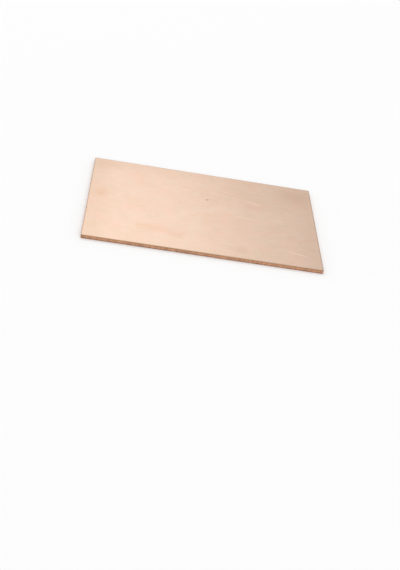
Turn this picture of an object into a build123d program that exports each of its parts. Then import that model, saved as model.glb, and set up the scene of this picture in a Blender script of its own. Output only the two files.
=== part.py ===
"""Copper clad board: a guillotined blank of phenolic paper laminate with copper foil on one face.

Millimetres, +Z up. The origin is the centre of the bare underside, which lies on the ground.
The length runs along X, the width along Y, and the copper face looks up.
"""

import os

from build123d import *

# The blank, as it is sold: its thickness is measured over the copper
board_length = 100.0
board_width = 70.0
board_thickness = 1.5

# One ounce copper foil
foil_thickness = 0.035

# The guillotine draws the copper face down along each cut
roll_width = 0.3
roll_drop = 0.05

# Handling blunts the four corners, and the cut breaks away the lower arris
corner_radius = 0.3
lower_arris_break = 0.1

# The laminate fills the thickness that the foil leaves
core_thickness = board_thickness - foil_thickness


def section_between_cuts(span, height):
    """Section from one cut edge to the opposite one: square below, rolled over above."""
    cut = span / 2
    roll_start = cut - roll_width
    cut_top = height - roll_drop
    with BuildSketch() as section:
        with BuildLine():
            Polyline((-cut, cut_top), (-cut, 0), (cut, 0), (cut, cut_top))
            TangentArc((roll_start, height), (cut, cut_top), tangent=(1, 0))
            Line((roll_start, height), (-roll_start, height))
            TangentArc((-roll_start, height), (-cut, cut_top), tangent=(-1, 0))
        make_face()
    return section.sketch


def guillotined_blank(height):
    """Block with the board's outline, its upper face rolled down towards all four cuts."""
    with BuildPart() as blank:
        with BuildSketch():
            RectangleRounded(board_length, board_width, corner_radius)
        extrude(amount=height)
        with BuildSketch(Plane.XZ):
            add(section_between_cuts(board_length, height))
        extrude(amount=board_width / 2, both=True, mode=Mode.INTERSECT)
        with BuildSketch(Plane.YZ):
            add(section_between_cuts(board_width, height))
        extrude(amount=board_length / 2, both=True, mode=Mode.INTERSECT)
    return blank.part


# Base laminate: the sheet of pressed paper and resin that carries the foil
with BuildPart() as base_laminate:
    add(guillotined_blank(core_thickness))
    chamfer(base_laminate.edges().group_by(Axis.Z)[0], length=lower_arris_break)

# Copper foil: what the laminate leaves of the whole blank, so it follows the rolled edges
with BuildPart() as copper_foil:
    add(guillotined_blank(board_thickness))
    add(guillotined_blank(core_thickness), mode=Mode.SUBTRACT)

base_laminate.part.label = "base_laminate"
copper_foil.part.label = "copper_foil"

os.makedirs("parts", exist_ok=True)
export_step(base_laminate.part, "parts/base_laminate.step")
export_step(copper_foil.part, "parts/copper_foil.step")
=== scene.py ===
"""Looks of a copper clad board: copper foil pressed onto phenolic paper laminate.

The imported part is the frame. Both of its nodes are replaced by meshes of the same size that
also have what the cut, the press and the scrubbing rolls leave on such a board.
"""

import logging
import math
from dataclasses import dataclass, field
from enum import Enum
from typing import Any, Callable, Iterable

import bmesh
import bpy
from mathutils import Matrix, Vector, noise


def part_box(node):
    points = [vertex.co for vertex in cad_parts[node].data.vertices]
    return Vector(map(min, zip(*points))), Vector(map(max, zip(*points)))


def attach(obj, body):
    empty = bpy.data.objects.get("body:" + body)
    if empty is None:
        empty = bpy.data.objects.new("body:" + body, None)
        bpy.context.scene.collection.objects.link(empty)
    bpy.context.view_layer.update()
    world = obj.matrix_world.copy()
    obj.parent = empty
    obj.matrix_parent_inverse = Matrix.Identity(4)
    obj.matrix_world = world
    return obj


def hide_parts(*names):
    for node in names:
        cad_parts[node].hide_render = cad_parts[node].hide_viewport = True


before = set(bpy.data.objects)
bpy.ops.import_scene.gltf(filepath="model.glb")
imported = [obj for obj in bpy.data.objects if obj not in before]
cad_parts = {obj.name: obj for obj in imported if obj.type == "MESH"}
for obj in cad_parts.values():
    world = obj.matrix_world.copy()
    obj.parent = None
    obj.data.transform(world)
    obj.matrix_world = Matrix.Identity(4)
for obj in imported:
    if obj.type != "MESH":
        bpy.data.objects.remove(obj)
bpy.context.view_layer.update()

LOG = logging.getLogger("copper_clad_board")

MM = 0.001
PHOTO_WIDTH_PX = 400
PHOTO_HEIGHT_PX = 570
OLD_CUT_ATTRIBUTE = "distance_to_old_cut"
NEW_CUT_ATTRIBUTE = "distance_to_new_cut"
DEPTH_ATTRIBUTE = "cut_depth"
# Height in millimetres of a pattern that is the same all through the sheet
THROUGHOUT = 1000.0
# The noise texture's values lie round this
NOISE_MIDDLE = 0.5

# The sRGB curve: straight below the knee, a power above it
SRGB_KNEE = 0.04045
SRGB_SLOPE = 12.92
SRGB_OFFSET = 0.055
SRGB_POWER = 2.4

Colour = tuple[float, float, float, float]
HeightAt = Callable[[float, float], float]


class Slot(Enum):
    """Names of the two material slots."""

    LAMINATE = "laminate"
    COPPER = "copper"


class MarkKind(Enum):
    """What a mark on the copper is."""

    STAIN = "stain"
    SPECK = "speck"
    SCRATCH = "scratch"


class Ease(Enum):
    """How a ramp runs between its ends."""

    STRAIGHT = "LINEAR"
    SMOOTH = "SMOOTHSTEP"


def linear(hex_colour: str) -> Colour:
    """Turn an sRGB hex colour into the linear colour that a socket takes.

    Args:
        hex_colour: Six hex digits after a hash sign.

    Returns:
        Linear red, green and blue, and an alpha of one.
    """
    channels = [int(hex_colour[start:start + 2], 16) / 255 for start in (1, 3, 5)]
    red, green, blue = (
        value / SRGB_SLOPE
        if value <= SRGB_KNEE
        else ((value + SRGB_OFFSET) / (1 + SRGB_OFFSET)) ** SRGB_POWER
        for value in channels
    )
    return (red, green, blue, 1.0)


def add_node(
    tree: bpy.types.NodeTree,
    kind: str,
    sockets: dict[Any, Any] | None = None,
    **settings: Any,
) -> bpy.types.Node:
    """Add a node with its settings, values and links.

    Args:
        tree: The node tree that takes the node.
        kind: Blender's name for the class of node.
        sockets: Input name or index, with the value or the output socket that feeds it.
        **settings: Properties of the node itself.

    Returns:
        The new node.
    """
    node = tree.nodes.new(kind)
    for name, value in settings.items():
        setattr(node, name, value)
    for name, value in (sockets or {}).items():
        if isinstance(value, bpy.types.NodeSocket):
            tree.links.new(value, node.inputs[name])
        else:
            node.inputs[name].default_value = value
    return node


def new_tree(owner: bpy.types.ID) -> bpy.types.NodeTree:
    """Switch a material or a world to nodes.

    Args:
        owner: The material or the world.

    Returns:
        Its tree, emptied.
    """
    owner.use_nodes = True
    owner.node_tree.nodes.clear()
    return owner.node_tree


def write_attribute(piece: bpy.types.Object, name: str, values: Iterable[float]) -> None:
    """Give values to a piece's points, which its material can read.

    Args:
        piece: The piece.
        name: The attribute's name.
        values: One for each point, from the first on; points beyond them keep zero.
    """
    attribute = piece.data.attributes.new(name, "FLOAT", "POINT")
    for point, value in zip(attribute.data, values):
        point.value = value


def bearing(azimuth: float, elevation: float) -> Vector:
    """Point in a direction.

    Args:
        azimuth: Degrees round from +Y towards +X.
        elevation: Degrees up from the ground.

    Returns:
        The unit vector.
    """
    flat = math.cos(math.radians(elevation))
    return Vector(
        (
            math.sin(math.radians(azimuth)) * flat,
            math.cos(math.radians(azimuth)) * flat,
            math.sin(math.radians(elevation)),
        )
    )


def smooth_step(value: float, low: float, high: float) -> float:
    """Rise smoothly from 0 at low to 1 at high."""
    share = min(max((value - low) / (high - low), 0.0), 1.0)
    return share * share * (3 - 2 * share)


@dataclass(frozen=True)
class PressWaves:
    """Shallow waves that the press leaves in a face, in millimetres."""

    pitch: float
    height: float
    flat_rim: float = 0.3
    edge_fade: float = 3.0
    swell_share: float = 0.5
    ripple_share: float = 0.25
    ripples_per_swell: float = 2.3
    swell_seed: float = 0.0
    ripple_seed: float = 5.0

    def depth(self, x: float, y: float, distance_to_cut: float) -> float:
        """Depth of the face below its highest level.

        Args:
            x: Place along the board.
            y: Place across the board.
            distance_to_cut: Distance in from the nearest cut, where the waves die away.

        Returns:
            Millimetres, from zero to the full height.
        """
        place = Vector((x, y, 0.0)) / self.pitch
        swell = noise.noise(place + Vector((0.0, 0.0, self.swell_seed)))
        ripple = noise.noise(place * self.ripples_per_swell + Vector((0.0, 0.0, self.ripple_seed)))
        share = 0.5 + self.swell_share * swell + self.ripple_share * ripple
        fade = smooth_step(distance_to_cut, self.flat_rim, self.edge_fade)
        return self.height * min(max(share, 0.0), 1.0) * fade


@dataclass(frozen=True)
class Blank:
    """Sizes of the guillotined blank that both pieces share, in millimetres."""

    length: float
    width: float
    thickness: float
    core_thickness: float
    roll_width: float = 0.3
    roll_drop: float = 0.05
    corner_radius: float = 0.3
    lower_arris_break: float = 0.1
    upper_waves: PressWaves = PressWaves(pitch=12.0, height=0.018)
    lower_waves: PressWaves = PressWaves(pitch=9.0, height=0.012, swell_seed=3.0, ripple_seed=8.0)

    @classmethod
    def from_frame(cls) -> "Blank":
        """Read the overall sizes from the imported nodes.

        Returns:
            The blank, with its finer sizes as they stand here.
        """
        low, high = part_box("base_laminate")
        foil_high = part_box("copper_foil")[1]
        return cls(
            length=(high.x - low.x) / MM,
            width=(high.y - low.y) / MM,
            thickness=foil_high.z / MM,
            core_thickness=high.z / MM,
        )

    def distance_to_cut(self, x: float, y: float) -> float:
        """Distance in from the nearest of the four cuts."""
        return min(self.length / 2 - abs(x), self.width / 2 - abs(y))

    def distance_to_old_cut(self, x: float, y: float) -> float:
        """Distance in from the nearest cut but the one of lowest Y, which is the newest."""
        return min(self.length / 2 - abs(x), self.width / 2 - y)

    def distance_to_new_cut(self, x: float, y: float) -> float:
        """Distance in from the cut of lowest Y, the same all along it."""
        return self.width / 2 + y

    def drop(self, x: float, y: float) -> float:
        """How far the guillotine has drawn the copper side down.

        Args:
            x: Place along the board.
            y: Place across the board.

        Returns:
            Millimetres down along the arc from the flat face to the cut.
        """
        inside = min(self.roll_width - self.distance_to_cut(x, y), self.roll_width)
        if inside <= 0:
            return 0.0
        radius = (self.roll_width**2 + self.roll_drop**2) / (2 * self.roll_drop)
        return radius - math.sqrt(radius**2 - inside**2)

    def layer_height(self, x: float, y: float, level: float) -> float:
        """Height of a layer on the copper side, rolled down at the cuts and waved by the press.

        Args:
            x: Place along the board.
            y: Place across the board.
            level: The layer's nominal height.

        Returns:
            Millimetres above the ground.
        """
        waves = self.upper_waves.depth(x, y, self.distance_to_cut(x, y))
        return level - self.drop(x, y) - waves

    def underside_height(self, x: float, y: float) -> float:
        """Height of the bare underside over the ground."""
        return self.lower_waves.depth(x, y, self.distance_to_cut(x, y))


@dataclass(frozen=True)
class GuillotineCut:
    """Relief of the cut edge, as depth in from the blade's plane, in millimetres."""

    rib_pitch: float = 0.8
    rib_depth: float = 0.045
    rib_lean: float = 0.35
    fibre_pitch: float = 0.3
    fibre_flatness: float = 4.0
    fibre_depth: float = 0.024
    ply_count: int = 8
    # How far the seams between plies wander, in plies, and over what length
    ply_wander: float = 0.35
    ply_wander_pitch: float = 3.0
    # Seams gape in stretches of this length, where their noise lies above these levels
    seam_depth: float = 0.018
    seam_sharpness: int = 3
    seam_pitch: float = 1.6
    seam_change_per_ply: float = 0.7
    seam_closed: float = -0.2
    seam_open: float = 0.4
    seam_seed: float = 11.0
    # Chips break out at both faces, where their noise lies above these levels
    chip_pitch: float = 2.6
    chip_depth: float = 0.11
    chip_reach: float = 0.28
    chip_whole: float = 0.22
    chip_broken: float = 0.55
    chip_seed: float = 19.0
    # Just below the foil the laminate crumbles
    crumble_depth: float = 0.035
    crumble_height: float = 0.16
    # The foil's cut face, with the heights at which it crosses the two noises
    lip_depth: float = 0.024
    lip_rib_height: float = 1.7
    lip_burr_height: float = 1.4
    # How far in from the cut the faces still show its relief
    relief_reach: float = 0.15

    def depth(self, x: float, y: float, z: float, blank: Blank) -> float:
        """Depth of the laminate's cut face in from the outline.

        Args:
            x: Place along the board.
            y: Place across the board.
            z: Height above the underside.
            blank: Sizes of the board.

        Returns:
            Millimetres in, never below zero.
        """
        lean = self.rib_lean * z
        rib = noise.noise(Vector((x + lean, y + lean, z / self.fibre_flatness)) / self.rib_pitch)
        fibre = noise.noise(Vector((x, y, z * self.fibre_flatness)) / self.fibre_pitch)
        ply = z / blank.core_thickness * self.ply_count
        seam = 1 - abs(math.sin(math.pi * (ply + self.ply_wander * self._wander(x, y, ply))))
        below_foil = blank.core_thickness - blank.roll_drop - z
        near_face = max(1 - z / self.chip_reach, 1 - below_foil / self.chip_reach, 0.0)
        chip = noise.noise(Vector((x, y, self.chip_seed)) / self.chip_pitch)
        crumble = smooth_step(self.crumble_height - below_foil, 0, self.crumble_height)
        return max(
            self.rib_depth * (0.5 + rib)
            + self.fibre_depth * (0.5 + fibre)
            + self.seam_depth * seam**self.seam_sharpness * self._gape(x, y, ply)
            + self.chip_depth * smooth_step(chip, self.chip_whole, self.chip_broken) * near_face
            + self.crumble_depth * crumble,
            0.0,
        )

    def _wander(self, x: float, y: float, ply: float) -> float:
        """Shift of the seams up or down at a place, from about minus one to one."""
        return noise.noise(Vector((x / self.ply_wander_pitch, y / self.ply_wander_pitch, ply)))

    def _gape(self, x: float, y: float, ply: float) -> float:
        """How far the seam at a place stands open.

        Args:
            x: Place along the board.
            y: Place across the board.
            ply: Height above the underside, in plies.

        Returns:
            Zero where it is closed, up to one.
        """
        height = ply * self.seam_change_per_ply + self.seam_seed
        level = noise.noise(Vector((x / self.seam_pitch, y / self.seam_pitch, height)))
        return smooth_step(level, self.seam_closed, self.seam_open)

    def lip(self, x: float, y: float) -> float:
        """Depth of the foil's own cut face, which the ribs only just reach.

        Args:
            x: Place along the board.
            y: Place across the board.

        Returns:
            Millimetres in, never below zero.
        """
        rib = noise.noise(Vector((x, y, self.lip_rib_height)) / self.rib_pitch)
        burr = noise.noise(Vector((x, y, self.lip_burr_height)) / self.fibre_pitch)
        return max(self.lip_depth * (0.5 + 0.5 * rib + 0.5 * burr), 0.0)

    def fade(self, inset: float) -> float:
        """Share of the relief that is left on a face at a distance in from the cut."""
        return max(1 - inset / self.relief_reach, 0.0)


@dataclass(frozen=True)
class Column:
    """One station round the outline: where it stands on the cut and where its rows lead to."""

    outer: Vector
    inner: Vector
    anchor: tuple[int, int] | None

    def at(self, inset: float, margin: float) -> Vector:
        """Place in plan at a distance in from the cut."""
        return self.outer.lerp(self.inner, inset / margin)


@dataclass
class PlateMesher:
    """Closed plate with fine columns round its edge and an even grid over its faces."""

    blank: Blank
    margin: float = 1.0
    cell: float = 1.0
    columns_per_cell: int = 6
    arc_steps: int = 4
    # Where the faces have a row of points between the cut and the grid
    face_insets: tuple[float, ...] = (0.03, 0.08, 0.15, 0.22, 0.3, 0.6)
    sharp_angle: float = 35.0
    columns: list[Column] = field(default_factory=list)

    def __post_init__(self) -> None:
        """Work out the grid's size and the columns round the outline."""
        self.cells_x = round((self.blank.length - 2 * self.margin) / self.cell)
        self.cells_y = round((self.blank.width - 2 * self.margin) / self.cell)
        self._add_columns()

    def grid_point(self, i: int, j: int) -> Vector:
        """Plan place of a grid point, counted from the corner of lowest X and Y."""
        half = Vector((self.blank.length / 2 - self.margin, self.blank.width / 2 - self.margin))
        return Vector((half.x * (2 * i / self.cells_x - 1), half.y * (2 * j / self.cells_y - 1)))

    def _add_columns(self) -> None:
        """Walk counter-clockwise: each side from its first corner, then the corner's arc."""
        corners = [(0, 0), (self.cells_x, 0), (self.cells_x, self.cells_y), (0, self.cells_y)]
        radius = self.blank.corner_radius
        half = Vector((self.blank.length / 2 - radius, self.blank.width / 2 - radius))
        centres = [Vector((half.x * x, half.y * y)) for x, y in ((-1, -1), (1, -1), (1, 1), (-1, 1))]
        quarter = math.pi / 2
        for side, start in enumerate(corners):
            end = corners[(side + 1) % 4]
            next_centre = centres[(side + 1) % 4]
            outward = Vector((math.sin(side * quarter), -math.cos(side * quarter))) * radius
            cells = abs(end[0] - start[0]) + abs(end[1] - start[1])
            count = cells * self.columns_per_cell
            for k in range(count + 1):
                outer = (centres[side] + outward).lerp(next_centre + outward, k / count)
                inner = self.grid_point(*start).lerp(self.grid_point(*end), k / count)
                whole, rest = divmod(k, self.columns_per_cell)
                reached = tuple(a + (b - a) // cells * whole for a, b in zip(start, end))
                self.columns.append(Column(outer, inner, None if rest else reached))
            for k in range(1, self.arc_steps):
                angle = (side - 1) * quarter + quarter * k / self.arc_steps
                outer = next_centre + Vector((math.cos(angle), math.sin(angle))) * radius
                self.columns.append(Column(outer, self.grid_point(*end), None))

    def build(
        self,
        name: str,
        rings: list[list[Vector]],
        low_face: HeightAt,
        high_face: HeightAt,
    ) -> tuple[bpy.types.Object, int]:
        """Make the closed mesh from its rings and its two faces.

        Args:
            name: Name of the piece.
            rings: Rows of points round the outline, from the lower face to the upper.
            low_face: Height of the lower face at a place in plan.
            high_face: Height of the upper face at a place in plan.

        Returns:
            The piece, and how many faces its edge has: they come first.
        """
        mesh = bmesh.new()
        rows = [[mesh.verts.new(point * MM) for point in ring] for ring in rings]
        count = len(self.columns)
        for lower, upper in zip(rows, rows[1:]):
            for k in range(count):
                after = (k + 1) % count
                mesh.faces.new((lower[k], lower[after], upper[after], upper[k]))
        for row, height, facing_up in ((rows[0], low_face, False), (rows[-1], high_face, True)):
            for outline in self._cover(mesh, row, height):
                mesh.faces.new(outline if facing_up else outline[::-1])
        data = bpy.data.meshes.new(name)
        mesh.to_mesh(data)
        mesh.free()
        data.shade_smooth()
        data.set_sharp_from_angle(angle=math.radians(self.sharp_angle))
        piece = bpy.data.objects.new(name, data)
        bpy.context.scene.collection.objects.link(piece)
        return piece, (len(rows) - 1) * count

    def _cover(
        self,
        mesh: bmesh.types.BMesh,
        row: list[bmesh.types.BMVert],
        height: HeightAt,
    ) -> list[list[bmesh.types.BMVert]]:
        """Lay the grid of a face and join it to the nearest ring.

        Args:
            mesh: The mesh that takes the points.
            row: The ring round the face.
            height: Height of the face at a place in plan.

        Returns:
            The outline of each face, counter-clockwise from above.
        """
        grid = {}
        for i in range(self.cells_x + 1):
            for j in range(self.cells_y + 1):
                place = self.grid_point(i, j)
                grid[i, j] = mesh.verts.new(place.to_3d() * MM)
                grid[i, j].co.z = height(place.x, place.y) * MM
        outlines = [
            [grid[i, j], grid[i + 1, j], grid[i + 1, j + 1], grid[i, j + 1]]
            for i in range(self.cells_x)
            for j in range(self.cells_y)
        ]
        count = len(self.columns)
        anchors = [k for k, column in enumerate(self.columns) if column.anchor is not None]
        for k, following in zip(anchors, anchors[1:] + anchors[:1]):
            span = (following - k) % count
            here, there = (grid[self.columns[end].anchor] for end in (k, following))
            for step in range(span):
                near = here if step < (span + 1) // 2 else there
                outlines.append([row[(k + step) % count], row[(k + step + 1) % count], near])
            if here is not there:
                outlines.append([row[(k + (span + 1) // 2) % count], there, here])
        return outlines


@dataclass(frozen=True)
class NoisePattern:
    """Noise drawn out along a line: sizes in millimetres, and degrees from X."""

    length: float
    width: float
    height: float
    angle: float = 0.0
    detail: float = 3.0
    roughness: float = 0.55
    distortion: float = 0.0

    def draw(self, tree: bpy.types.NodeTree, place: bpy.types.NodeSocket) -> bpy.types.Node:
        """Draw the noise.

        Args:
            tree: The material's tree.
            place: Object coordinates.

        Returns:
            The noise's node.
        """
        drawn = add_node(
            tree,
            "ShaderNodeMapping",
            {
                "Vector": place,
                "Rotation": (0.0, 0.0, math.radians(self.angle)),
                "Scale": (self.length * MM, self.width * MM, self.height * MM),
            },
            vector_type="TEXTURE",
        ).outputs["Vector"]
        return add_node(
            tree,
            "ShaderNodeTexNoise",
            {
                "Vector": drawn,
                "Scale": 1.0,
                "Detail": self.detail,
                "Roughness": self.roughness,
                "Distortion": self.distortion,
            },
        )


@dataclass(frozen=True)
class Ramp:
    """Run from one number to another while a source goes from low to high, held beyond them."""

    low: float
    high: float
    at_low: float
    at_high: float

    def sockets(self, source: bpy.types.NodeSocket) -> dict[str, Any]:
        """Give what a Map Range node takes to follow the ramp.

        Args:
            source: What the ramp follows.

        Returns:
            The node's inputs by name.
        """
        return {
            "Value": source,
            "From Min": self.low,
            "From Max": self.high,
            "To Min": self.at_low,
            "To Max": self.at_high,
        }

    def shade(
        self,
        tree: bpy.types.NodeTree,
        colour: bpy.types.NodeSocket,
        source: bpy.types.NodeSocket,
    ) -> bpy.types.NodeSocket:
        """Lighten and darken a colour by the ramp's numbers.

        Args:
            tree: The material's tree.
            colour: The colour before.
            source: What the ramp follows.

        Returns:
            The colour after.
        """
        factor = add_node(tree, "ShaderNodeMapRange", self.sockets(source)).outputs["Result"]
        return add_node(
            tree, "ShaderNodeVectorMath", {0: colour, "Scale": factor}, operation="SCALE"
        ).outputs[0]

    def tint(
        self,
        tree: bpy.types.NodeTree,
        colour: bpy.types.NodeSocket | Colour,
        source: bpy.types.NodeSocket,
        tint: str,
        ease: Ease = Ease.STRAIGHT,
    ) -> bpy.types.NodeSocket:
        """Mix a tint into a colour, with the ramp's numbers as its share.

        Args:
            tree: The material's tree.
            colour: The colour before.
            source: What the ramp follows.
            tint: The tint as an sRGB hex colour.
            ease: How the ramp runs between its ends.

        Returns:
            The colour after.
        """
        share = add_node(
            tree, "ShaderNodeMapRange", self.sockets(source), interpolation_type=ease.value
        ).outputs["Result"]
        return add_node(
            tree, "ShaderNodeMix", {"Factor": share, "A": colour, "B": linear(tint)}, data_type="RGBA"
        ).outputs["Result"]


@dataclass(frozen=True)
class SurfaceMark:
    """Elliptical mark on the copper, in millimetres and degrees; a scratch is a long thin one."""

    kind: MarkKind
    x: float
    y: float
    half_length: float
    half_width: float
    angle: float
    colour: str
    strength: float


@dataclass(frozen=True)
class ScrubbedCopper:
    """Electrodeposited copper foil, scrubbed along the sheet and lightly tarnished by air.

    To the eye it is a satin pale pink metal with fine lengthwise lines, faint clouds, a few
    handling marks and a warmer tint that has crept in from the older cuts. Its rim is darker where
    the guillotine has rolled it down: painted shade, darkest along the cut of lowest Y.
    """

    foil_height: float
    fresh: str = "#CDB4A1"
    tarnished: str = "#C6AA91"
    blush: str = "#D7AB99"
    crept: str = "#AC8A6E"
    # The rim's colour is painted shade on the rolled-down lip
    rim_shade: str = "#88674C"
    clouds: NoisePattern = NoisePattern(11.0, 11.0, 11.0)
    patches: NoisePattern = NoisePattern(3.2, 3.2, 3.2)
    flushes: NoisePattern = NoisePattern(7.0, 7.0, 7.0)
    grain: NoisePattern = NoisePattern(0.9, 0.9, 0.9)
    # The brushes leave lines about 0.03 apart; they are drawn wider so that they show
    lines: NoisePattern = NoisePattern(
        length=14.0, width=0.24, height=THROUGHOUT, angle=-4.0, detail=7.0, roughness=0.65
    )
    scratches: tuple[NoisePattern, ...] = tuple(
        NoisePattern(
            length=30.0, width=1.7, height=THROUGHOUT, angle=angle, detail=7.0, roughness=0.65
        )
        for angle in (-14.0, 9.0)
    )
    # What each pattern does to the colour; clouds and patches add up to about 1
    tarnish_share: Ramp = Ramp(0.78, 1.28, 0.0, 0.5)
    blush_share: Ramp = Ramp(0.42, 0.72, 0.0, 0.33)
    line_tone: Ramp = Ramp(0.25, 0.75, 0.94, 1.06)
    grain_tone: Ramp = Ramp(0.25, 0.75, 0.98, 1.02)
    scratch_tone: Ramp = Ramp(0.62, 0.70, 1.0, 1.05)
    # The same in from the cuts, in millimetres
    crept_share: Ramp = Ramp(0.0, 13.0, 0.17, 0.0)
    # The rims are painted shade on the rolled-down lip, darker and wider along the cut of lowest Y
    old_rim_shade_share: Ramp = Ramp(0.1, 0.5, 0.58, 0.0)
    new_rim_shade_share: Ramp = Ramp(0.1, 0.85, 0.76, 0.0)
    line_roughness: Ramp = Ramp(0.3, 0.7, 0.255, 0.325)
    line_relief: float = 0.005
    scratch_relief: float = 0.002
    stain_raggedness: float = 3.0
    stain_shift: NoisePattern = NoisePattern(4.0, 4.0, 4.0, roughness=0.5)
    # Each mark's kind, x, y, half length, half width, angle, colour and strength
    marks: tuple[SurfaceMark, ...] = (
        SurfaceMark(MarkKind.STAIN, -44.7, 3.1, 7.6, 4.8, 75, "#B58B5E", 0.27),
        SurfaceMark(MarkKind.STAIN, -22.1, -20.7, 9.5, 5.8, 8, "#C08F66", 0.22),
        SurfaceMark(MarkKind.STAIN, -11.6, -22.5, 7.0, 5.2, 0, "#BA8B70", 0.20),
        SurfaceMark(MarkKind.STAIN, -46.0, 30.1, 12.0, 8.0, 0, "#B08F74", 0.22),
        SurfaceMark(MarkKind.STAIN, 21.9, 10.7, 9.0, 5.0, -12, "#D2A090", 0.22),
        SurfaceMark(MarkKind.STAIN, 21.9, 18.6, 40.0, 18.0, 0, "#AE8A6A", 0.17),
        SurfaceMark(MarkKind.STAIN, 42.9, 26.6, 14.0, 11.0, 20, "#A87F66", 0.27),
        SurfaceMark(MarkKind.STAIN, 38.5, -11.5, 5.0, 3.4, 70, "#BC9078", 0.17),
        SurfaceMark(MarkKind.STAIN, 15.7, -29.0, 4.6, 3.8, 0, "#A08672", 0.15),
        SurfaceMark(MarkKind.SPECK, 1.75, 10.6, 0.8, 0.6, 70, "#4A3020", 0.80),
        SurfaceMark(MarkKind.SPECK, 2.0, 11.1, 2.2, 0.9, 12, "#8A6A54", 0.22),
        SurfaceMark(MarkKind.SPECK, -29.9, 27.4, 0.7, 0.5, 60, "#7A5A48", 0.60),
        SurfaceMark(MarkKind.SPECK, 41.7, -15.0, 0.6, 0.45, 60, "#8A6A58", 0.50),
        SurfaceMark(MarkKind.SPECK, -49.8, -12.3, 1.1, 0.4, 88, "#7A4A38", 0.70),
        SurfaceMark(MarkKind.SCRATCH, 8.3, 16.8, 10.5, 0.26, -10.7, "#EEDACA", 0.38),
        SurfaceMark(MarkKind.SCRATCH, 9.5, 20.8, 4.8, 0.24, -12.4, "#EEDACA", 0.38),
        SurfaceMark(MarkKind.SCRATCH, 21.4, 14.5, 9.0, 0.40, -12.6, "#EEDACA", 0.22),
        SurfaceMark(MarkKind.SCRATCH, 23.3, 13.2, 6.5, 2.20, -10.7, "#E6CDBC", 0.14),
        SurfaceMark(MarkKind.SCRATCH, 29.9, 5.9, 5.4, 0.22, -13.6, "#EEDACA", 0.30),
        SurfaceMark(MarkKind.SCRATCH, 18.4, -0.8, 6.4, 0.27, -11.7, "#EEDACA", 0.54),
        SurfaceMark(MarkKind.SCRATCH, 32.1, -0.4, 5.0, 0.25, -13.6, "#EEDACA", 0.48),
        SurfaceMark(MarkKind.SCRATCH, 39.8, -24.7, 9.4, 0.27, -16.1, "#F0DFD1", 0.68),
    )

    def material(self) -> bpy.types.Material:
        """Build the material.

        Returns:
            The finished material.
        """
        material = bpy.data.materials.new("scrubbed_copper_foil")
        tree = new_tree(material)
        place = add_node(tree, "ShaderNodeTexCoord").outputs["Object"]
        clouds, patches, flushes, grain, lines = (
            pattern.draw(tree, place).outputs["Fac"]
            for pattern in (self.clouds, self.patches, self.flushes, self.grain, self.lines)
        )
        relief = add_node(
            tree, "ShaderNodeBump", {"Height": lines, "Distance": self.line_relief * MM}
        ).outputs["Normal"]
        uneven = add_node(tree, "ShaderNodeMath", {0: clouds, 1: patches}, operation="ADD").outputs[0]
        colour = self.tarnish_share.tint(tree, linear(self.fresh), uneven, self.tarnished)
        colour = self.blush_share.tint(tree, colour, flushes, self.blush)
        colour = self.line_tone.shade(tree, colour, lines)
        colour = self.grain_tone.shade(tree, colour, grain)
        for scratches in self.scratches:
            streaks = scratches.draw(tree, place).outputs["Fac"]
            colour = self.scratch_tone.shade(tree, colour, streaks)
            relief = add_node(
                tree,
                "ShaderNodeBump",
                {"Height": streaks, "Distance": self.scratch_relief * MM, "Normal": relief},
                invert=True,
            ).outputs["Normal"]
        ragged = self._ragged_place(tree, place)
        for mark in self.marks:
            spot = ragged if mark.kind is MarkKind.STAIN else place
            colour = self._marked(tree, spot, colour, mark)
        # A warmer tint crept in from the older cuts, then the painted shade of the rims
        for attribute, share, tint in (
            (OLD_CUT_ATTRIBUTE, self.crept_share, self.crept),
            (OLD_CUT_ATTRIBUTE, self.old_rim_shade_share, self.rim_shade),
            (NEW_CUT_ATTRIBUTE, self.new_rim_shade_share, self.rim_shade),
        ):
            inset = add_node(
                tree, "ShaderNodeAttribute", attribute_type="GEOMETRY", attribute_name=attribute
            ).outputs["Fac"]
            colour = share.tint(tree, colour, inset, tint, Ease.SMOOTH)
        roughness = add_node(
            tree, "ShaderNodeMapRange", self.line_roughness.sockets(lines)
        ).outputs["Result"]
        shader = add_node(
            tree,
            "ShaderNodeBsdfPrincipled",
            {"Base Color": colour, "Metallic": 1.0, "Roughness": roughness, "Normal": relief},
        )
        add_node(tree, "ShaderNodeOutputMaterial", {"Surface": shader.outputs["BSDF"]})
        return material

    def _ragged_place(
        self, tree: bpy.types.NodeTree, place: bpy.types.NodeSocket
    ) -> bpy.types.NodeSocket:
        """Shift the coordinates to and fro, so that what is drawn with them has no even outline.

        Args:
            tree: The material's tree.
            place: Object coordinates.

        Returns:
            The shifted coordinates.
        """
        shift = self.stain_shift.draw(tree, place).outputs["Color"]
        middle = (NOISE_MIDDLE, NOISE_MIDDLE, NOISE_MIDDLE)
        centred = add_node(
            tree, "ShaderNodeVectorMath", {0: shift, 1: middle}, operation="SUBTRACT"
        ).outputs[0]
        scaled = add_node(
            tree,
            "ShaderNodeVectorMath",
            {0: centred, "Scale": self.stain_raggedness * MM},
            operation="SCALE",
        ).outputs[0]
        return add_node(
            tree, "ShaderNodeVectorMath", {0: place, 1: scaled}, operation="ADD"
        ).outputs[0]

    def _marked(
        self,
        tree: bpy.types.NodeTree,
        place: bpy.types.NodeSocket,
        colour: bpy.types.NodeSocket,
        mark: SurfaceMark,
    ) -> bpy.types.NodeSocket:
        """Lay one mark over a colour.

        Args:
            tree: The material's tree.
            place: The coordinates to draw it with.
            colour: The colour below the mark.
            mark: The mark.

        Returns:
            The colour with the mark.
        """
        ellipse = add_node(
            tree,
            "ShaderNodeMapping",
            {
                "Vector": place,
                "Location": (mark.x * MM, mark.y * MM, self.foil_height * MM),
                "Rotation": (0.0, 0.0, math.radians(mark.angle)),
                "Scale": (mark.half_length * MM, mark.half_width * MM, 1.0),
            },
            vector_type="TEXTURE",
        ).outputs["Vector"]
        spot = add_node(
            tree, "ShaderNodeTexGradient", {"Vector": ellipse}, gradient_type="SPHERICAL"
        ).outputs["Fac"]
        return Ramp(0.0, 1.0, 0.0, mark.strength).tint(tree, colour, spot, mark.colour, Ease.SMOOTH)


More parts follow.
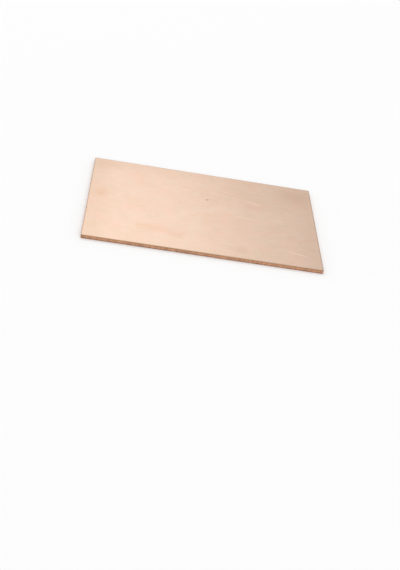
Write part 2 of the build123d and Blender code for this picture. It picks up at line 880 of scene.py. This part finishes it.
@dataclass(frozen=True)
class PressedPhenolicPaper:
    """Kraft paper soaked in phenolic resin and pressed against a steel plate.

    To the eye it is a smooth caramel brown sheet with a low sheen, in which the paper's fibres
    show as fine pale flecks and soft clouds.
    """

    resin: str = "#A27046"
    fibre: str = "#BD9166"
    ior: float = 1.6
    clouds: NoisePattern = NoisePattern(7.0, 7.0, 7.0, detail=5.0, roughness=0.6)
    # Paper fibres are about 0.03 thick; they are drawn wider so that they show
    fibres: tuple[NoisePattern, ...] = tuple(
        NoisePattern(
            length=1.5, width=0.22, height=THROUGHOUT, angle=angle, roughness=0.6, distortion=0.4
        )
        for angle in (8.0, 64.0, -52.0)
    )
    # The clouds and the three fibre patterns add up to about 2
    fibre_share: Ramp = Ramp(1.7, 2.3, 0.0, 1.0)
    fibre_roughness: Ramp = Ramp(0.0, 1.0, 0.28, 0.40)
    relief: float = 0.002

    def material(self) -> bpy.types.Material:
        """Build the material.

        Returns:
            The finished material.
        """
        material = bpy.data.materials.new("pressed_phenolic_paper")
        tree = new_tree(material)
        place = add_node(tree, "ShaderNodeTexCoord").outputs["Object"]
        blend = self.clouds.draw(tree, place).outputs["Fac"]
        for fibres in self.fibres:
            flecks = fibres.draw(tree, place).outputs["Fac"]
            blend = add_node(tree, "ShaderNodeMath", {0: blend, 1: flecks}, operation="ADD").outputs[0]
        share = add_node(
            tree, "ShaderNodeMapRange", self.fibre_share.sockets(blend)
        ).outputs["Result"]
        colour = add_node(
            tree,
            "ShaderNodeMix",
            {"Factor": share, "A": linear(self.resin), "B": linear(self.fibre)},
            data_type="RGBA",
        ).outputs["Result"]
        roughness = add_node(
            tree, "ShaderNodeMapRange", self.fibre_roughness.sockets(share)
        ).outputs["Result"]
        relief = add_node(
            tree, "ShaderNodeBump", {"Height": share, "Distance": self.relief * MM}
        ).outputs["Normal"]
        shader = add_node(
            tree,
            "ShaderNodeBsdfPrincipled",
            {"Base Color": colour, "Roughness": roughness, "IOR": self.ior, "Normal": relief},
        )
        add_node(tree, "ShaderNodeOutputMaterial", {"Surface": shader.outputs["BSDF"]})
        return material


@dataclass(frozen=True)
class GuillotinedPhenolicPaper:
    """The same laminate where the blade has broken through its plies.

    To the eye it is a dull tan band with broken lines along the plies and uneven ribs across them.
    Its colour is darker just under the copper, partly painted shade under the foil's lip, darker and
    redder near the underside, painted shadow where the board rests, and darker in deep relief and
    in the ribs' grooves, painted shade.
    """

    height: float
    ply_count: int
    roughness: float = 0.82
    ior: float = 1.5
    patches: NoisePattern = NoisePattern(2.4, 2.4, 2.4, detail=5.0, roughness=0.65)
    ribs: NoisePattern = NoisePattern(0.75, 0.75, 3.0, detail=5.0, roughness=0.65)
    # The torn fibres are finer than this, and flattened by the press; drawn wider to show
    fibres: NoisePattern = NoisePattern(0.4, 0.4, 0.07, detail=5.0, roughness=0.65)
    rib_relief: float = 0.02
    fibre_relief: float = 0.02
    # From the underside, at zero, to the foil, at one. The dark red bands at the bottom are painted
    # shadow where the board rests; the dark bands at the top are partly painted shade under the foil's
    # lip
    bands_with_painted_shade: tuple[tuple[float, str], ...] = (
        (0.00, "#774B36"),
        (0.10, "#9A694E"),
        (0.35, "#C58E6D"),
        (0.70, "#CC9872"),
        (0.84, "#B2855F"),
        (0.93, "#8C694C"),
        (1.00, "#755A40"),
    )
    band_wander: Ramp = Ramp(0.2, 0.8, -0.06, 0.06)
    seam_tone: Ramp = Ramp(0.4, 0.8, 0.82, 1.0)
    # The ribs' tone is partly random tone and partly painted shade, darker where their bump is low
    rib_tone_and_shade: Ramp = Ramp(0.30, 0.70, 0.66, 1.28)
    fibre_tone: Ramp = Ramp(0.30, 0.70, 0.80, 1.20)
    # Painted shade in the recesses: the deeper the relief, in millimetres, the darker
    recess_shade_tone: Ramp = Ramp(0.02, 0.14, 1.06, 0.72)

    def material(self) -> bpy.types.Material:
        """Build the material.

        Returns:
            The finished material.
        """
        material = bpy.data.materials.new("guillotined_phenolic_paper")
        tree = new_tree(material)
        place = add_node(tree, "ShaderNodeTexCoord").outputs["Object"]
        patches, ribs, fibres = (
            pattern.draw(tree, place).outputs["Fac"]
            for pattern in (self.patches, self.ribs, self.fibres)
        )
        up = add_node(tree, "ShaderNodeSeparateXYZ", {"Vector": place}).outputs["Z"]
        level, wander = (
            add_node(tree, "ShaderNodeMapRange", ramp.sockets(source)).outputs["Result"]
            for ramp, source in (
                (Ramp(0.0, self.height * MM, 0.0, 1.0), up),
                (self.band_wander, patches),
            )
        )
        share = add_node(tree, "ShaderNodeMath", {0: level, 1: wander}, operation="ADD").outputs[0]
        ply = add_node(
            tree, "ShaderNodeMath", {0: share, 1: math.pi * self.ply_count}, operation="MULTIPLY"
        ).outputs[0]
        wave = add_node(tree, "ShaderNodeMath", {0: ply}, operation="SINE").outputs[0]
        closed = add_node(tree, "ShaderNodeMath", {0: wave}, operation="ABSOLUTE").outputs[0]
        frayed = add_node(tree, "ShaderNodeMath", {0: closed, 1: fibres}, operation="ADD").outputs[0]
        depth = add_node(
            tree, "ShaderNodeAttribute", attribute_type="GEOMETRY", attribute_name=DEPTH_ATTRIBUTE
        ).outputs["Fac"]
        colour = self._banded(tree, share)
        # The last tone, by the relief's depth, is painted shade in the recesses
        for tone, source in (
            (self.seam_tone, frayed),
            (self.rib_tone_and_shade, ribs),
            (self.fibre_tone, fibres),
            (self.recess_shade_tone, depth),
        ):
            colour = tone.shade(tree, colour, source)
        relief = add_node(
            tree, "ShaderNodeBump", {"Height": ribs, "Distance": self.rib_relief * MM}
        ).outputs["Normal"]
        relief = add_node(
            tree,
            "ShaderNodeBump",
            {"Height": fibres, "Distance": self.fibre_relief * MM, "Normal": relief},
        ).outputs["Normal"]
        shader = add_node(
            tree,
            "ShaderNodeBsdfPrincipled",
            {"Base Color": colour, "Roughness": self.roughness, "IOR": self.ior, "Normal": relief},
        )
        add_node(tree, "ShaderNodeOutputMaterial", {"Surface": shader.outputs["BSDF"]})
        return material

    def _banded(
        self, tree: bpy.types.NodeTree, share: bpy.types.NodeSocket
    ) -> bpy.types.NodeSocket:
        """Colour the cut by its height, with its painted shadow at the bottom and shade at the top.

        Args:
            tree: The material's tree.
            share: Height as a share of the laminate's.

        Returns:
            The bands' colour at that height.
        """
        ramp = add_node(tree, "ShaderNodeValToRGB", {"Fac": share})
        elements = ramp.color_ramp.elements
        for position, _ in self.bands_with_painted_shade[1:-1]:
            elements.new(position)
        for element, (position, band) in zip(elements, self.bands_with_painted_shade):
            element.position = position
            element.color = linear(band)
        return ramp.outputs["Color"]


@dataclass
class BaseLaminate:
    """The sheet of pressed paper and resin, bare below and broken at its cut edges."""

    mesher: PlateMesher
    cut: GuillotineCut
    side_rows: int = 15
    underside_insets: tuple[float, ...] = (0.6, 0.3)
    # The broken arris is a little rounded, and the relief of the cut fades out over it
    arris_rounding: float = 0.3
    arris_fades: tuple[float, float] = (0.6, 0.9)

    def build(self) -> bpy.types.Object:
        """Make the mesh and dress it.

        Returns:
            The piece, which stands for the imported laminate.
        """
        blank, cut = self.mesher.blank, self.cut
        rings, depths = self._rings()
        piece, edge_faces = self.mesher.build(
            "base_laminate_sheet",
            rings,
            low_face=blank.underside_height,
            high_face=lambda x, y: blank.layer_height(x, y, blank.core_thickness),
        )
        broken = GuillotinedPhenolicPaper(height=blank.core_thickness, ply_count=cut.ply_count)
        for finish in (PressedPhenolicPaper(), broken):
            piece.data.materials.append(finish.material())
        write_attribute(piece, DEPTH_ATTRIBUTE, depths)
        # What the blade has broken takes the second material, and the rest keeps the first
        for face in piece.data.polygons[:edge_faces]:
            centre = face.center / MM
            at_cut = blank.distance_to_cut(centre.x, centre.y) < cut.relief_reach + cut.chip_depth
            face.material_index = int(at_cut and centre.z > blank.lower_arris_break / 2)
        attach(piece, "root")
        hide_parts("base_laminate")
        return piece

    def _rings(self) -> tuple[list[list[Vector]], list[float]]:
        """Rows of points from the underside, up the cut, to the face below the foil.

        Returns:
            The rows, and every point's depth of relief in the same order.
        """
        blank, mesher = self.mesher.blank, self.mesher
        cut_top = blank.core_thickness - blank.roll_drop
        arris = blank.lower_arris_break
        bend = self.arris_rounding * arris
        stations = [(inset, 0.0, 0.0) for inset in self.underside_insets]
        stations += [(arris, 0.0, self.arris_fades[0]), (bend, bend, self.arris_fades[1])]
        for row in range(self.side_rows + 1):
            stations.append((0.0, arris + (cut_top - arris) * row / self.side_rows, 1.0))
        stations += [(inset, None, self.cut.fade(inset)) for inset in mesher.face_insets]
        rings, depths = [], []
        for inset, height, share in stations:
            ring = []
            for column in mesher.columns:
                level = cut_top if height is None else height
                depth = share * self.cut.depth(column.outer.x, column.outer.y, level, blank)
                plan = column.at(inset + depth, mesher.margin)
                if height is None:
                    level = blank.layer_height(plan.x, plan.y, blank.core_thickness)
                ring.append(Vector((plan.x, plan.y, level)))
                depths.append(depth)
            rings.append(ring)
        return rings, depths


@dataclass
class CopperFoil:
    """The foil over the laminate, rolled down at the cuts with a slightly ragged lip."""

    mesher: PlateMesher
    cut: GuillotineCut

    def build(self) -> bpy.types.Object:
        """Make the mesh and dress it.

        Returns:
            The piece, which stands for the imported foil.
        """
        blank = self.mesher.blank
        piece, _ = self.mesher.build(
            "copper_foil_sheet",
            self._rings(),
            low_face=lambda x, y: blank.layer_height(x, y, blank.core_thickness),
            high_face=lambda x, y: blank.layer_height(x, y, blank.thickness),
        )
        piece.data.materials.append(ScrubbedCopper(foil_height=blank.thickness).material())
        places = [(vertex.co.x / MM, vertex.co.y / MM) for vertex in piece.data.vertices]
        for name, distance in (
            (OLD_CUT_ATTRIBUTE, blank.distance_to_old_cut),
            (NEW_CUT_ATTRIBUTE, blank.distance_to_new_cut),
        ):
            write_attribute(piece, name, (distance(x, y) for x, y in places))
        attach(piece, "root")
        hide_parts("copper_foil")
        return piece

    def _rings(self) -> list[list[Vector]]:
        """Rows of points from below the foil, round its lip, to its upper face.

        Returns:
            The rows.
        """
        blank, mesher = self.mesher.blank, self.mesher
        stations = [(inset, blank.core_thickness) for inset in mesher.face_insets[::-1]]
        stations += [(0.0, blank.core_thickness), (0.0, blank.thickness)]
        stations += [(inset, blank.thickness) for inset in mesher.face_insets]
        rings = []
        for inset, level in stations:
            ring = []
            for column in mesher.columns:
                lip = self.cut.lip(column.outer.x, column.outer.y)
                plan = column.at(inset + lip * self.cut.fade(inset), mesher.margin)
                ring.append(Vector((plan.x, plan.y, blank.layer_height(plan.x, plan.y, level))))
            rings.append(ring)
        return rings


@dataclass(frozen=True)
class Softbox:
    """Square lamp behind diffusing cloth, in millimetres; level is how bright the cloth looks."""

    name: str
    azimuth: float
    elevation: float
    distance: float
    side: float
    level: float

    def place(self) -> None:
        """Hang the lamp and turn it to the origin; azimuth 0 is behind the board, 90 at +X."""
        lamp = bpy.data.lights.new(self.name, "AREA")
        lamp.shape = "SQUARE"
        lamp.size = self.side * MM
        lamp.energy = self.level * math.pi * (self.side * MM) ** 2
        holder = bpy.data.objects.new(self.name, lamp)
        direction = bearing(self.azimuth, self.elevation)
        holder.location = direction * self.distance * MM
        holder.rotation_euler = direction.to_track_quat("Z", "Y").to_euler()
        bpy.context.scene.collection.objects.link(holder)


@dataclass(frozen=True)
class Studio:
    """White floor and surround under two softboxes."""

    floor_radius: float = 1400.0
    floor_sides: int = 96
    floor_gap: float = 0.02
    floor_colour: str = "#F8F8F8"
    floor_roughness: float = 0.9
    floor_lift: float = 0.03
    ambient: float = 0.76
    lamps: tuple[Softbox, ...] = (
        Softbox("key_softbox", azimuth=-23, elevation=54, distance=2500, side=2600, level=0.78),
        Softbox("fill_softbox", azimuth=165, elevation=38, distance=2500, side=1900, level=0.9),
    )

    def build(self) -> None:
        """Make the floor, the lamps, the surround and the plain colour handling."""
        self._floor()
        for lamp in self.lamps:
            lamp.place()
        self._surround()
        bpy.context.scene.view_settings.view_transform = "Standard"

    def _floor(self) -> None:
        """Lay the white floor just under the board."""
        mesh = bmesh.new()
        bmesh.ops.create_circle(
            mesh, cap_ends=True, segments=self.floor_sides, radius=self.floor_radius * MM
        )
        data = bpy.data.meshes.new("studio_floor")
        mesh.to_mesh(data)
        mesh.free()
        floor = bpy.data.objects.new("studio_floor", data)
        floor.location.z = -self.floor_gap * MM
        bpy.context.scene.collection.objects.link(floor)
        material = bpy.data.materials.new("white_paper_floor")
        tree = new_tree(material)
        lift = add_node(
            tree, "ShaderNodeMath", {0: self._seen(tree), 1: self.floor_lift}, operation="MULTIPLY"
        ).outputs[0]
        paper = add_node(
            tree,
            "ShaderNodeBsdfPrincipled",
            {
                "Base Color": linear(self.floor_colour),
                "Roughness": self.floor_roughness,
                "Emission Color": linear("#FFFFFF"),
                "Emission Strength": lift,
            },
        )
        add_node(tree, "ShaderNodeOutputMaterial", {"Surface": paper.outputs["BSDF"]})
        data.materials.append(material)

    @staticmethod
    def _seen(tree: bpy.types.NodeTree) -> bpy.types.NodeSocket:
        """Tell whether a ray looks at the background, itself or by way of metal or glass.

        Args:
            tree: The tree that takes the nodes.

        Returns:
            One where the ray does, and zero where it only lights.
        """
        path = add_node(tree, "ShaderNodeLightPath")
        straight = add_node(
            tree,
            "ShaderNodeMath",
            {0: path.outputs["Is Camera Ray"], 1: path.outputs["Is Glossy Ray"]},
            operation="MAXIMUM",
        ).outputs[0]
        return add_node(
            tree,
            "ShaderNodeMath",
            {0: straight, 1: path.outputs["Is Transmission Ray"]},
            operation="MAXIMUM",
        ).outputs[0]

    def _surround(self) -> None:
        """White all round, at full strength only where it is seen or mirrored."""
        world = bpy.data.worlds.new("white_surround")
        bpy.context.scene.world = world
        tree = new_tree(world)
        levels = Ramp(0.0, 1.0, self.ambient, 1.0)
        strength = add_node(
            tree, "ShaderNodeMapRange", levels.sockets(self._seen(tree))
        ).outputs["Result"]
        background = add_node(
            tree, "ShaderNodeBackground", {"Color": linear("#FFFFFF"), "Strength": strength}
        )
        add_node(tree, "ShaderNodeOutputWorld", {"Surface": background.outputs["Background"]})


@dataclass(frozen=True)
class PhotoCamera:
    """Camera that stands where the photograph's stood, in millimetres and degrees."""

    aim: tuple[float, float, float] = (-1.26, -56.73, 0.0)
    azimuth: float = 6.45
    elevation: float = 32.57
    roll: float = 11.81
    distance: float = 397.7
    focal_length_px: float = 1025.4
    sensor: float = 36.0
    clip_start: float = 10.0
    clip_end: float = 20000.0

    def build(self) -> None:
        """Make the camera and hand it to the scene."""
        forward = bearing(self.azimuth, -self.elevation)
        level = forward.cross(Vector((0, 0, 1))).normalized()
        upright = level.cross(forward)
        roll = math.radians(self.roll)
        right = level * math.cos(roll) + upright * math.sin(roll)
        up = upright * math.cos(roll) - level * math.sin(roll)
        camera = bpy.data.cameras.new("photo_camera")
        camera.sensor_width = self.sensor
        camera.lens = self.focal_length_px / max(PHOTO_WIDTH_PX, PHOTO_HEIGHT_PX) * self.sensor
        camera.clip_start = self.clip_start * MM
        camera.clip_end = self.clip_end * MM
        holder = bpy.data.objects.new("photo_camera", camera)
        pose = Matrix((right, up, -forward)).transposed().to_4x4()
        pose.translation = (Vector(self.aim) - forward * self.distance) * MM
        holder.matrix_world = pose
        bpy.context.scene.collection.objects.link(holder)
        bpy.context.scene.camera = holder


def main() -> None:
    """Build the camera, the studio and the board's two pieces, then log their face counts."""
    logging.basicConfig(level=logging.INFO, format="%(message)s")
    PhotoCamera().build()
    Studio().build()
    mesher = PlateMesher(Blank.from_frame())
    cut = GuillotineCut()
    for sub_assembly in (BaseLaminate(mesher, cut), CopperFoil(mesher, cut)):
        piece = sub_assembly.build()
        LOG.info("%s: %d faces", piece.name, len(piece.data.polygons))


if __name__ == "__main__":
    main()
